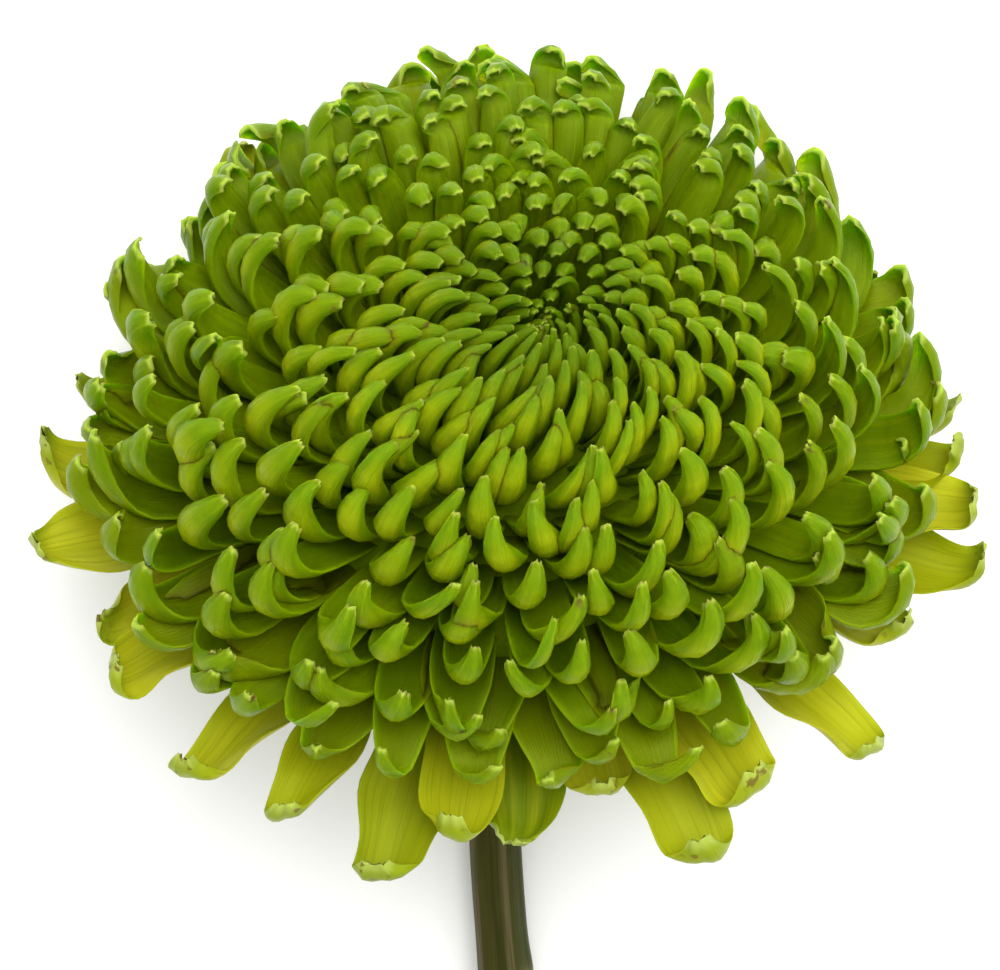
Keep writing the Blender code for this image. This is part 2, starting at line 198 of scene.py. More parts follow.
# The stem bends under the head, then lies along the surface to a plain cut end.
STEM_RADIUS = 3.3 * MM
STEM_NECK_RADIUS = 3.7 * MM
STEM_NECK_LENGTH = 9.0 * MM
STEM_START = -12.35 * MM
STEM_LIE_HEIGHT = 3.05 * MM
STEM_END = -96.2 * MM
STEM_SWAY = 2.2 * MM
STEM_SIDES = 60
STEM_RINGS = 200
STEM_RIBS = 5
STEM_RIB_SHARE = 0.035
STEM_FINE_RIB_SHARE = 0.008
STEM_SWAY_START = 0.2
STEM_BEND_STEPS = 200
# Leaf scars on the stem: place along y, side (+1 right, -1 left).
STEM_NODES = ((-22.2 * MM, 1.0), (-68.2 * MM, -1.0))
STEM_NODE_SHARE = 0.13
STEM_NODE_REACH = 4.0 * MM
STEM_NODE_ROUND = 0.35
SCAR_LENGTH_SHARE = 0.35
SCAR_EDGE = 0.35
SCAR_FADE = 0.5
SCAR_DEPTH = 0.05
# The cut end, ring by ring, in shares of the stem's own ring.
CUT_SHARES = (0.97, 0.85, 0.7, 0.5, 0.3, 0.1)

HAIR_DENSITY = 1.8e6
HAIR_LENGTH = 0.45 * MM
HAIR_LENGTHS = (0.5, 1.2)
HAIR_ROOT = 0.03 * MM
HAIR_TIP = 0.004 * MM
HAIR_LEAN = 0.5
HAIR_TURN = 6.28
HAIR_OPEN_SIDE = (-0.35, 0.1)

# The fleshy heart that the florets grow from, which stays hidden under them.
HEART_OUTLINE = (
    (0.0, 19.5), (8.5, 19.0), (16.5, 17.0), (24.0, 13.5), (28.5, 9.5), (31.0, 5.0), (30.0, 1.0), (11.0, -2.6),
    (10.0, -4.9), (0.0, -4.9),
)
HEART_SIDES = 64
HEART_STEPS = 3
CUP_STEPS = 4
POLE_RADIUS = 0.02 * MM

# The view: the photo's scale at the heart's height, and where in its frame the heart stands.
PHOTO_PIXEL = 0.1217 * MM
PHOTO_SIZE = (1000, 970)
HEART_PIXEL = (510, 462)
CAMERA_DISTANCE = 480 * MM
CAMERA_SENSOR = 36
FLOOR_HALF = 3.0
SURROUND_LIGHT = 1.0
LAMP_SIZE = 0.9
LAMP_ENERGY = 9.4
LAMP_PLACE = (0.2, 0.36, 0.75)

LEAF_SHEEN = (0.80, 1.0, 0.20)
STEM_SHEEN = (0.85, 0.85, 0.35)

FLORET_KEYS = (
    "around", "root_r", "root_z", "length", "angle", "bend", "hook", "hook_start", "width", "swirl", "twist",
    "tip_turn", "lean", "cup", "fill", "hood", "beak", "jag", "thick", "claw", "age", "tone", "which",
)
LENGTHS = ("root_r", "root_z", "length", "width", "thick")


def smooth(x):
    x = np.clip(x, 0.0, 1.0)
    return x * x * (3.0 - 2.0 * x)


def run_of(floret, steps=40):
    """How far out and up the floret reaches, for a length of 1."""
    s = (np.arange(steps) + 0.5) / steps
    hooked = smooth((s - floret["hook_start"]) / (HOOK_END - floret["hook_start"]))
    turn = floret["angle"] - floret["bend"] * s - floret["hook"] * hooked
    return np.sin(turn).mean(), np.cos(turn).mean()


def green_floret(age, around):
    """The floret whose tip lies on the outline of the bloom for its age.

    On the far side florets are longer and stand up straighter, and there and on the near side, where they
    are short and broad, they bend nearer the tip.
    """
    far = max(math.sin(around), 0.0) * (1.0 - age)
    farthest = max(math.sin(around), 0.0) ** 2 * (1.0 - age)
    near = max(-math.sin(around), 0.0) ** 3 * (1.0 - age)
    ages = [step[0] for step in GREEN_STEPS]
    tip_r, tip_z, bend, hook, hook_start, width = (
        float(np.interp(age, ages, [step[k] for step in GREEN_STEPS])) for k in range(1, 7)
    )
    start = hook_start + NEAR_LATER * near
    floret = {
        "age": age,
        "angle": 0.0,
        "bend": math.radians(bend),
        "around": around,
        "hook": math.radians(hook) * (1.0 - FAR_STRAIGHTER * far),
        "hook_start": start + (FAR_HOOK_START - start) * min(FAR_SPREAD * farthest, 1.0),
        "width": width * (1.0 + NEAR_WIDER * near - FAR_NARROWER * min(FAR_SPREAD * far, 1.0)),
        "root_r": RECEPTACLE_RADIUS * math.sqrt(1.0 - age * age),
        "root_z": RECEPTACLE_HEIGHT * age + RECEPTACLE_FOOT * (1.0 - age),
    }
    out, up = run_of(floret)
    reach_r = tip_r * (1.0 + FAR_LONGER * far - NEAR_SHORTER * near) - floret["root_r"]
    reach_z = tip_z - floret["root_z"]
    floret["length"] = math.hypot(reach_r, reach_z) / math.hypot(out, up)
    floret["angle"] = math.atan2(reach_r, reach_z) - math.atan2(out, up)
    return floret


def green_florets():
    """All green florets in one spiral of golden angles, each a little unlike its neighbours."""
    rnd = random.Random(SEED)
    florets = []

    def scatter(key, rim):
        heart_scatter, rim_scatter = GREEN_SCATTER[key]
        return rnd.gauss(0, heart_scatter + rim_scatter * rim)

    def formed(key, far, near, rim):
        plain, on_far, on_near, on_rim = GREEN_FORM[key]
        return plain + on_far * far + on_near * near + on_rim * rim + scatter(key, rim)

    for i in range(GREEN_COUNT):
        age = i / (GREEN_COUNT - 1)
        rim = 1.0 - age
        floret = green_floret(age, i * GOLDEN_ANGLE + scatter("around", rim))
        loose = 1.0 - INNER_TIGHTER * age
        far = max(math.sin(floret["around"]), 0.0) * loose
        near = max(-math.sin(floret["around"]), 0.0) * loose
        floret["length"] *= 1.0 + loose * scatter("length", rim)
        floret["angle"] = min(floret["angle"] + loose * math.radians(scatter("angle", rim)), GREEN_LOWEST)
        floret["hook"] *= 1.0 + loose * scatter("hook", rim)
        floret["hook_start"] += scatter("hook_start", rim)
        if i in PIERCING:
            floret["length"] *= 1.0 - PIERCING_SHORTER
        floret["width"] *= 1.0 + INNER_FAR_WIDER * far * age + scatter("width", rim)
        floret["swirl"] = scatter("swirl", rim)
        floret["twist"] = loose * scatter("twist", rim)
        floret["tip_turn"] = TIP_TURN + scatter("tip_turn", rim)
        floret["lean"] = TIP_LEAN + scatter("lean", rim)
        floret["cup"] = formed("cup", far, near, rim)
        floret["fill"] = formed("fill", min(FAR_SPREAD * far, 1.0), near, rim)
        floret["hood"] = formed("hood", far, near, rim)
        floret["beak"] = formed("beak", far * rim, near, rim)
        floret["jag"] = JAG_LEAST + (1.0 - JAG_LEAST) * float(smooth(age / JAG_FULL_AGE))
        floret["thick"] = GREEN_THICK
        floret["claw"] = CLAW_SHARE
        floret["tone"] = rnd.random()
        floret["which"] = i
        florets.append(floret)
    return florets


def yellow_florets():
    """The broad florets of the outermost ring, in two overlapping rows."""
    rnd = random.Random(SEED + 1)
    florets = []
    for i, (direction, tip_radius, width, roll) in enumerate(YELLOW_FLORETS):
        green = max(1.0 - abs(direction - GREENEST_DIRECTION) / GREENER_REACH, 0.0) if i % 2 else 0.0
        floret = {
            "age": green,
            "around": math.radians(direction),
            "angle": YELLOW_ANGLE + YELLOW_ROW_STEP * (i % 2) + math.radians(rnd.uniform(*YELLOW_RISE)),
            "bend": math.radians(rnd.uniform(*YELLOW_BEND)),
            "hook": YELLOW_HOOK * (1 + rnd.gauss(0, YELLOW_HOOK_SCATTER)),
            "hook_start": YELLOW_HOOK_START + rnd.uniform(*YELLOW_HOOK_SHIFT),
            "width": width,
            "root_r": YELLOW_ROOT_RADIUS,
            "root_z": YELLOW_ROOT_HEIGHT,
            "swirl": 0.0,
            "twist": math.radians(roll),
            "tip_turn": rnd.gauss(0, YELLOW_TIP_SCATTER),
            "lean": rnd.gauss(0, YELLOW_LEAN_SCATTER),
            "cup": rnd.uniform(*YELLOW_CUP),
            "fill": YELLOW_FILL,
            "hood": rnd.uniform(*YELLOW_HOOD),
            "beak": rnd.uniform(*YELLOW_BEAK),
            "jag": 1.0,
            "thick": YELLOW_THICK,
            "claw": CLAW_SHARE,
            "tone": rnd.random(),
            "which": i,
        }
        floret["length"] = (tip_radius - YELLOW_ROOT_RADIUS) / run_of(floret)[0]
        florets.append(floret)
    return florets


def bracts():
    """The bracts of the cup, row by row, each row turned half a step from the one above."""
    made = []
    for row, (count, root_r, root_z, length, angle, width) in enumerate(BRACT_ROWS):
        for i in range(count):
            made.append({
                "age": row / len(BRACT_ROWS),
                "around": 2 * math.pi * (i + 0.5 * row) / count,
                "angle": math.radians(angle),
                "bend": 0.0,
                "hook": BRACT_HOOK,
                "hook_start": BRACT_HOOK_START,
                "width": width,
                "root_r": root_r,
                "root_z": root_z,
                "length": length,
                "swirl": 0.0,
                "twist": 0.0,
                "tip_turn": 0.0,
                "lean": 0.0,
                "cup": BRACT_CUP,
                "fill": BRACT_FILL,
                "hood": 0.0,
                "beak": BRACT_BEAK,
                "jag": 0.0,
                "thick": BRACT_THICK,
                "claw": 1.0,
                "tone": (i * GOLDEN_SHARE) % 1.0,
                "which": len(made),
            })
    return made


class Field:
    """A socket of a node tree that takes part in sums and products."""

    def __init__(self, tree, socket):
        self.tree = tree
        self.socket = socket
        self.is_vector = socket.type == "VECTOR"

    def join(self, operation, *others):
        vector = self.is_vector or any(isinstance(other, Field) and other.is_vector for other in others)
        node = self.tree.nodes.new("ShaderNodeVectorMath" if vector else "ShaderNodeMath")
        node.operation = operation
        for socket, value in zip(node.inputs, (self, *others)):
            self.tree.feed(socket, (value,) * 3 if vector and not isinstance(value, Field) else value)
        return Field(self.tree, node.outputs[0])

    def __add__(self, other):
        return self.join("ADD", other)

    def __sub__(self, other):
        return self.join("SUBTRACT", other)

    def __mul__(self, other):
        return self.join("MULTIPLY", other)

    def __neg__(self):
        return self * -1.0

    def __radd__(self, other):
        return self + other

    def __rmul__(self, other):
        return self * other

    def __rsub__(self, other):
        return -self + other

    def power(self, exponent):
        return self.join("POWER", exponent)

    def sin(self):
        return self.join("SINE")

    def cos(self):
        return self.join("COSINE")


class Tree:
    """A node tree under construction, with short calls for the nodes that it uses most."""

    def __init__(self, group):
        self.group = group
        self.nodes = group.nodes
        self.links = group.links

    def feed(self, socket, value):
        if isinstance(value, Field):
            self.links.new(value.socket, socket)
        elif isinstance(value, bpy.types.NodeSocket):
            self.links.new(value, socket)
        else:
            socket.default_value = value

    def node(self, kind, inputs=None, **settings):
        made = self.nodes.new(kind)
        for key, value in settings.items():
            setattr(made, key, value)
        for key, value in (inputs or {}).items():
            self.feed(made.inputs[key], value)
        return made

    def field(self, kind, inputs=None, output=0, **settings):
        return Field(self, self.node(kind, inputs, **settings).outputs[output])

    def vector(self, x=0.0, y=0.0, z=0.0):
        return self.field("ShaderNodeCombineXYZ", {"X": x, "Y": y, "Z": z})

    def parts(self, vector):
        return [Field(self, socket) for socket in self.node("ShaderNodeSeparateXYZ", {0: vector}).outputs]

    def step(self, value, low, high, kind="SMOOTHSTEP"):
        """0 up to low, 1 from high on, and a ramp between them."""
        inputs = {"Value": value, "From Min": low, "From Max": high}
        return self.field("ShaderNodeMapRange", inputs, interpolation_type=kind)

    def bump_at(self, value, middle, reach):
        """1 at the middle, falling smoothly to 0 at this reach on both sides."""
        return self.step(value, middle - reach, middle) * self.step(value, middle + reach, middle)


class ShapeTree(Tree):
    """A geometry tree with the sizes of a modifier."""

    def __init__(self, name):
        super().__init__(bpy.data.node_groups.new(name, "GeometryNodeTree"))
        self.group.interface.new_socket("Geometry", in_out="INPUT", socket_type="NodeSocketGeometry")
        self.group.interface.new_socket("Geometry", in_out="OUTPUT", socket_type="NodeSocketGeometry")
        self.inlet = self.nodes.new("NodeGroupInput")
        self.outlet = self.nodes.new("NodeGroupOutput")

    def size(self, name, kind="NodeSocketFloat"):
        self.group.interface.new_socket(name, in_out="INPUT", socket_type=kind)
        return Field(self, self.inlet.outputs[name])

    def attribute(self, name, data_type="FLOAT"):
        return self.field("GeometryNodeInputNamedAttribute", {"Name": name}, data_type=data_type)

    def store(self, geometry, name, value, data_type="FLOAT"):
        inputs = {"Geometry": geometry, "Name": name, "Value": value}
        kind = "GeometryNodeStoreNamedAttribute"
        return self.node(kind, inputs, data_type=data_type, domain="POINT").outputs[0]

    def finish(self, geometry, material):
        """Smooth shading and the material, on the way to the outlet."""
        softened = self.node("GeometryNodeSetShadeSmooth", {"Geometry": geometry, "Shade Smooth": True})
        inputs = {"Geometry": softened.outputs[0], "Material": material}
        dressed = self.node("GeometryNodeSetMaterial", inputs)
        self.links.new(dressed.outputs[0], self.outlet.inputs[0])
        return self.group


class SkinTree(Tree):
    """The node tree of a material."""

    def __init__(self, name, roughness, specular=0.3, sheen=(1.0, 1.0, 1.0)):
        self.material = bpy.data.materials.new(name)
        self.material.use_nodes = True
        super().__init__(self.material.node_tree)
        self.shader = self.nodes["Principled BSDF"]
        self.shader.inputs["Roughness"].default_value = roughness
        self.shader.inputs["Specular IOR Level"].default_value = specular
        self.shader.inputs["Specular Tint"].default_value = (*sheen, 1.0)

    def attribute(self, name):
        return self.field("ShaderNodeAttribute", output="Fac", attribute_name=name)

    def place(self):
        return self.field("ShaderNodeTexCoord", output="Object")

    def noise(self, vector, scale, detail=2.0):
        return self.field("ShaderNodeTexNoise", {"Vector": vector, "Scale": scale, "Detail": detail})

    def mix(self, factor, first, second):
        """A blend of two colours."""
        colors = [color if isinstance(color, Field) else (*color, 1.0) for color in (first, second)]
        inputs = {0: factor, 6: colors[0], 7: colors[1]}
        return self.field("ShaderNodeMix", inputs, output=2, data_type="RGBA")

    def glow(self, weight, depth):
        """Light that passes a little way under the skin."""
        self.shader.inputs["Subsurface Weight"].default_value = weight
        self.shader.inputs["Subsurface Radius"].default_value = (0.6, 1.0, 0.08)
        self.shader.inputs["Subsurface Scale"].default_value = depth

    def finish(self, color, height, depth, strength):
        self.feed(self.shader.inputs["Base Color"], color)
        bump = self.node("ShaderNodeBump", {"Strength": strength, "Distance": depth, "Height": height})
        self.feed(self.shader.inputs["Normal"], bump.outputs[0])
        return self.material


def placed(points):
    """Places in the upright head drawn out of round, tipped over and moved to where the bloom lies."""
    x, y, z = points.T
    r = np.hypot(x, y)
    lean = np.clip(z / EYE_HEIGHT, 0, 1.3) ** 2 * np.clip(1 - r / RIM_RADIUS, 0, 1)
    x = x + EYE_SHIFT * lean
    z = z + RIM_RISE * y * r / RIM_RADIUS
    c, s = math.cos(HEAD_TILT), math.sin(HEAD_TILT)
    return np.column_stack([x, c * y + s * z, c * z - s * y]) + np.array(HEAD_PLACE)


def placed_field(tree, point):
    """The same as placed, for a field of a geometry tree."""
    x, y, z = tree.parts(point)
    r = (x * x + y * y).power(0.5)
    lean = tree.step(z, 0.0, 1.3 * EYE_HEIGHT, "LINEAR") * 1.3
    near = 1.0 - tree.step(r, 0.0, RIM_RADIUS, "LINEAR")
    x = x + EYE_SHIFT * lean * lean * near
    z = z + y * r * (RIM_RISE / RIM_RADIUS)
    c, s = math.cos(HEAD_TILT), math.sin(HEAD_TILT)
    return tree.vector(x, c * y + s * z, c * z - s * y) + tree.vector(*HEAD_PLACE)


def floret_points(name, florets):
    """One loose vertex for each floret, which carries the floret's own sizes as attributes."""
    mesh = bpy.data.meshes.new(name)
    mesh.from_pydata([(0.0, 0.0, 0.0)] * len(florets), [], [])
    for key in FLORET_KEYS:
        layer = mesh.attributes.new(key, "INT" if key == "which" else "FLOAT", "POINT")
        scale = MM if key in LENGTHS else 1
        layer.data.foreach_set("value", [floret[key] * scale for floret in florets])
    points = bpy.data.objects.new(name, mesh)
    bpy.context.scene.collection.objects.link(points)
    return points


def floret_tree():
    """Makes each point into a floret: a closed, fleshy blade with a narrow claw and a hooded, toothed tip."""
    tree = ShapeTree("Florets")
    stations = tree.size("Stations", "NodeSocketInt")
    sides = tree.size("Sides", "NodeSocketInt")
    tooth = tree.size("Tooth") * tree.attribute("width") * tree.attribute("jag")
    keel = tree.size("Keel")
    rounding_start = tree.size("Rounding Start")
    groove = tree.size("Groove")
    wave = tree.size("Wave")
    material = tree.size("Material", "NodeSocketMaterial")

    tube = tree.node(
        "GeometryNodeMeshCylinder",
        {"Vertices": sides, "Side Segments": stations, "Radius": 1.0, "Depth": 1.0},
        fill_type="NGON",
    )
    px, py, pz = tree.parts(tree.field("GeometryNodeInputPosition"))
    shape = tree.store(tube.outputs["Mesh"], "t", pz + 0.5)
    shape = tree.store(shape, "turn", tree.field("ShaderNodeMath", {0: py, 1: px}, operation="ARCTAN2"))
    index = tree.field("GeometryNodeInputIndex")
    shape = tree.store(shape, "column", index.join("MODULO", sides), "INT")
    inputs = {"Points": tree.inlet.outputs["Geometry"], "Instance": shape}
    copies = tree.node("GeometryNodeInstanceOnPoints", inputs)
    whole = tree.node("GeometryNodeRealizeInstances", {"Geometry": copies.outputs[0]})

    own = {key: tree.attribute(key) for key in FLORET_KEYS if key != "which"}
    group = tree.attribute("which", "INT") * sides + tree.attribute("column", "INT")
    t = tree.attribute("t")
    v = tree.attribute("turn").cos()
    side = tree.attribute("turn").sin()

    def share(t):
        """Stations drawn together towards the tip, where the floret bends most."""
        return 1.0 - (1.0 - t).join("MAXIMUM", 0.0).power(STATION_CROWDING)

    def turned(s):
        hooked = tree.step(s, own["hook_start"], HOOK_END)
        hooded = tree.step(s, HOOD_START, 1.0)
        return own["angle"] - own["bend"] * s - own["hook"] * hooked - own["hood"] * hooded

    s = share(t)
    before = share(tree.step(t - stations.power(-1.0), 0.0, 1.0, "LINEAR"))
    middle_turn = turned((s + before) * 0.5)
    stride = (s - before) * own["length"]
    total = tree.node(
        "GeometryNodeAccumulateField",
        {"Value": tree.vector(middle_turn.sin() * stride, middle_turn.cos() * stride), "Group Index": group},
        data_type="FLOAT_VECTOR",
        domain="POINT",
    )
    # The cylinder's rings run from its top to its bottom, so the way from the root is what isn't beyond.
    beyond = Field(tree, total.outputs["Trailing"])
    run_r, run_z, _ = tree.parts(Field(tree, total.outputs["Total"]) - beyond)
    r = own["root_r"] + run_r
    z = own["root_z"] + run_z

    turn = turned(s)
    tipward = tree.step(s, own["hook_start"], 1.0)
    around = own["around"] + own["swirl"] * s * s
    outward = tree.vector(around.cos(), around.sin())
    sideways = tree.vector(-around.sin(), around.cos())
    upward = tree.vector(0.0, 0.0, 1.0)
    inward = upward * turn.sin() - outward * turn.cos()
    forward = outward * turn.sin() + upward * turn.cos()
    twist = own["twist"] * s * s + own["tip_turn"] * tipward
    across = sideways * twist.cos() + inward * twist.sin()
    face = inward * twist.cos() - sideways * twist.sin()

    claw = own["claw"] + (1.0 - own["claw"]) * tree.step(s, 0.0, CLAW_END)
    narrowing = tree.step(s, BEAK_START, 1.0, "LINEAR")
    rounding = tree.step(s, rounding_start, 1.0, "LINEAR")
    rounded = (1.0 - TIP_ROUNDING * rounding * rounding).power(0.5)
    beak = (1.0 - own["beak"] * narrowing.power(BEAK_POWER)) * rounded
    half = own["width"] * 0.5 * claw * beak
    cup = own["cup"] * (CUP_AT_ROOT + CUP_GAIN * tree.step(s, *CUP_GAIN_SPAN))
    bow = v * cup * 0.5
    rho = half * (cup * 0.5).sin().power(-1.0)
    sag = rho * (1.0 - (cup * 0.5).cos())
    limb = tree.step(s, *FLESH_RISE) * (1.0 - tree.step(s, *FLESH_FALL))
    flesh = side.join("MAXIMUM", 0.0).power(2.0) * sag * own["fill"] * limb
    thick = own["thick"] * 0.5 * (1.0 - 0.5 * tree.step(s, THIN_START, 1.0)) * (0.5 + 0.5 * claw)
    grooves = groove * (v * (2.0 * math.pi)).cos() * (1.0 - v * v) * tree.step(s, *GROOVES_RISE)
    waves = wave * v * (s * WAVES_ALONG + own["tone"] * 30.0 + v * 2.0).sin() * tree.step(s, *WAVES_RISE)
    crinkle = (v * TEETH_ACROSS + own["tone"] * 9.0).cos()
    crinkle = crinkle + (v * SMALL_TEETH_ACROSS + own["tone"] * 31.0).cos() * SMALL_TEETH
    teeth = tooth * crinkle * tree.step(s, TEETH_START, 1.0)
    folds = (v * PUCKER_ACROSS + s * PUCKER_ALONG + own["tone"] * 17.0).sin()
    pucker = tooth * folds * tree.step(s, *PUCKER_RISE)
    outer_side = (-side).join("MAXIMUM", 0.0)
    ridge = keel * own["width"] * (1.0 - v * v).power(KEEL_SHARPNESS) * outer_side * tree.step(s, *KEEL_RISE)
    normal = face * bow.cos() - across * bow.sin()
    middle = outward * r + upward * z + sideways * (own["lean"] * own["length"] * tipward * tipward)
    point = middle + across * (rho * bow.sin()) + face * (rho * (1.0 - bow.cos()) + flesh)
    point = point + normal * (thick * side - grooves * side - ridge + waves + pucker) + forward * teeth

    height = tree.parts(placed_field(tree, middle))[2] + REST_DEPTH
    eased = (1.0 + (height * (1.0 / REST_EASE)).join("EXPONENT")).join("LOGARITHM", math.e) * REST_EASE
    lift = (eased - height) * (1.0 - tree.step(height, 4 * REST_EASE, 8 * REST_EASE))
    # What would still reach into the surface is pressed flat on it, a whole blade thick.
    x, y, z = tree.parts(placed_field(tree, point) + tree.vector(0.0, 0.0, lift))
    lowest = (side * 0.5 + 0.5) * own["thick"]
    over = ((z - lowest) * (1.0 / PRESS_EASE)).join("MINIMUM", 20.0)
    pressed = lowest + (1.0 + over.join("EXPONENT")).join("LOGARITHM", math.e) * PRESS_EASE
    point = tree.vector(x, y, pressed.join("MAXIMUM", z))

    moved = tree.node("GeometryNodeSetPosition", {"Geometry": whole.outputs[0], "Position": point})
    shaped = tree.store(moved.outputs[0], "s", s)
    shaped = tree.store(shaped, "v", v)
    shaped = tree.store(shaped, "inside", side * 0.5 + 0.5)
    return tree.finish(shaped, material)


def grown(name, seeds, group, sizes):
    """Runs the tree on the object, and keeps the result as a plain mesh under this name."""
    modifier = seeds.modifiers.new("grow", "NODES")
    modifier.node_group = group
    for item in group.interface.items_tree:
        if item.in_out == "INPUT" and item.name in sizes:
            modifier[item.identifier] = sizes[item.name]
    seeds.update_tag()
    graph = bpy.context.evaluated_depsgraph_get()
    mesh = bpy.data.meshes.new_from_object(seeds.evaluated_get(graph))
    bpy.data.objects.remove(seeds)
    return piece_of(name, mesh)


def piece_of(name, mesh):
    mesh.name = name
    piece = bpy.data.objects.new(name, mesh)
    bpy.context.scene.collection.objects.link(piece)
    return piece


def settle(piece, slot, *nodes):
    """The piece rides on the one body and stands for these nodes of the solids."""
    if nodes:
        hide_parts(*nodes)
    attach(piece, "root")
    print(piece.name, len(piece.data.polygons), "faces")


def ring_mesh(name, rings, material, caps=True):
    """A closed tube through rings of points, the first and last ring filled where caps are wanted."""
    sides = len(rings[0])
    points = [tuple(point) for ring in rings for point in ring]
    faces = []
    for k in range(len(rings) - 1):
        for i in range(sides):
            n = (i + 1) % sides
            faces.append((k * sides + i, k * sides + n, (k + 1) * sides + n, (k + 1) * sides + i))
    if caps:
        last = (len(rings) - 1) * sides
        faces.append(tuple(reversed(range(sides))))
        faces.append(tuple(range(last, last + sides)))
    mesh = bpy.data.meshes.new(name)
    mesh.from_pydata(points, [], faces)
    mesh.validate()
    mesh.materials.append(material)
    mesh.shade_smooth()
    return mesh


def turned_rings(outline, sides, steps):
    """Rings of the outline turned round the head's axis, with extra rings along each stretch of it."""
    rings = []
    corners = np.array(outline) * MM
    for k in range(len(corners) - 1):
        for share in np.arange(steps) / steps:
            rings.append(corners[k] * (1 - share) + corners[k + 1] * share)
    rings.append(corners[-1])
    angles = np.arange(sides) * 2 * math.pi / sides
    made = []
    for r, z in rings:
        r = max(r, POLE_RADIUS)
        made.append(placed(np.column_stack([r * np.cos(angles), r * np.sin(angles), np.full(sides, z)])))
    return made


def green_floret_skin():
    """Moss green at the root, a painted yellow-green highlight along the middle of the outer face, painted
    shade on the inner faces of open florets, fresh green before the pale teeth of the tip.
    """
    tree = SkinTree("green floret skin", 0.29, 0.17, LEAF_SHEEN)
    s, v, inside = (tree.attribute(key) for key in ("s", "v", "inside"))
    tone, age, fill = (tree.attribute(key) for key in ("tone", "age", "fill"))
    streaks = tree.noise(tree.vector(v * 1.8, s * 1.5, tone * 40.0), 1.6, 3.0)
    fibres = tree.noise(tree.vector(v * 9.0, s * 3.0, tone * 60.0), 2.0, 2.0)
    cells = tree.noise(tree.place(), 2500.0, 2.0)
    mottle = tree.noise(tree.place(), 420.0, 3.0)
    color = tree.mix(tree.step(s, 0.30, 0.72), (0.190, 0.290, 0.0008), (0.120, 0.190, 0.0004))
    # Painted highlight: a light yellow-green band along the middle of the outer face, towards the hook.
    back_ridge_highlight = (1.0 - tree.step(v * v, 0.0, 0.55)) * (1.0 - tree.step(inside, 0.3, 0.6))
    back_ridge_highlight = back_ridge_highlight * tree.bump_at(s, 0.84, 0.26) * (0.5 + streaks * 0.5)
    color = tree.mix(back_ridge_highlight, color, (0.335, 0.390, 0.0040))
    color = tree.mix(tree.step(streaks, 0.42, 0.70) * 0.55, color, (0.200, 0.265, 0.0012))
    color = tree.mix(tree.step(fibres, 0.52, 0.70) * 0.30, color, (0.075, 0.140, 0.0004))
    color = tree.mix(tree.step(mottle, 0.50, 0.72) * 0.30, color, (0.060, 0.120, 0.0004))
    color = tree.mix(tree.bump_at(s, 0.95, 0.09) * 0.55, color, (0.070, 0.170, 0.0010))
    # Painted shade on the inner faces below the hook, strongest where the floret is least filled.
    open_floret_shade = 0.95 - 0.75 * tree.step(fill, 0.50, 0.95)
    hollow_painted_shade = tree.step(inside, 0.5, 0.9) * (1.0 - tree.step(s, 0.8, 0.95)) * open_floret_shade
    color = tree.mix(hollow_painted_shade, color, (0.052, 0.098, 0.0002))
    color = tree.mix((1.0 - tree.step(age, 0.02, 0.14)) * 0.5, color, (0.170, 0.205, 0.0010))
    color = tree.mix(tree.step(tone, 0.2, 1.0) * 0.3, color, (0.150, 0.205, 0.0005))
    color = tree.mix(tree.step(age, 0.65, 0.95) * 0.6, color, (0.050, 0.098, 0.0008))
    pale = tree.step(s, 0.985, 1.0) * (0.75 - 0.5 * tree.step(age, 0.6, 0.9))
    color = tree.mix(pale, color, (0.330, 0.430, 0.0600))
    spots = tree.step(tree.noise(tree.place(), 900.0, 1.0), 0.55, 0.65)
    browned = tree.step(tone, 0.90, 0.95) * tree.step(s, 0.95, 0.99) * spots
    color = tree.mix(browned, color, (0.090, 0.045, 0.0150))
    tree.glow(0.85, 2.6 * MM)
    return tree.finish(color, fibres + cells * 0.3 + mottle * 0.6, 0.16 * MM, 0.7)


def yellow_floret_skin():
    """Clear yellow-green with olive veins along it, greener towards the root and the curled tip."""
    tree = SkinTree("yellow floret skin", 0.34, 0.17, LEAF_SHEEN)
    s, v, tone, green = (tree.attribute(key) for key in ("s", "v", "tone", "age"))
    streaks = tree.noise(tree.vector(v * 2.0, s * 1.2, tone * 40.0), 2.0, 3.0)
    lines = tree.noise(tree.vector(v * 7.0, s * 1.4, tone * 70.0), 2.0, 2.0)
    veins = tree.step(lines, 0.52, 0.66) * (0.35 + streaks)
    color = tree.mix(tree.step(tone, 0.45, 0.8), (0.400, 0.400, 0.0100), (0.255, 0.280, 0.0025))
    color = tree.mix(green, color, (0.090, 0.140, 0.0006))
    color = tree.mix(tree.step(streaks, 0.35, 0.7) * 0.6, color, (0.270, 0.300, 0.0040))
    color = tree.mix(veins.join("MINIMUM", 1.0) * 0.35, color, (0.150, 0.180, 0.0015))
    color = tree.mix(1.0 - tree.step(s, 0.45, 0.75), color, (0.150, 0.180, 0.0015))
    color = tree.mix(tree.step(s, 0.88, 0.96) * 0.7, color, (0.190, 0.260, 0.0080))
    color = tree.mix(tree.step(s, 0.965, 1.0) * 0.6, color, (0.400, 0.480, 0.1000))
    spots = tree.step(tree.noise(tree.place(), 700.0, 2.0), 0.60, 0.68)
    color = tree.mix(spots * tree.step(s, 0.9, 0.98) * 0.8, color, (0.120, 0.060, 0.0150))
    tree.glow(0.15, 1.2 * MM)
    return tree.finish(color, veins * -0.4 + streaks, 0.15 * MM, 0.4)


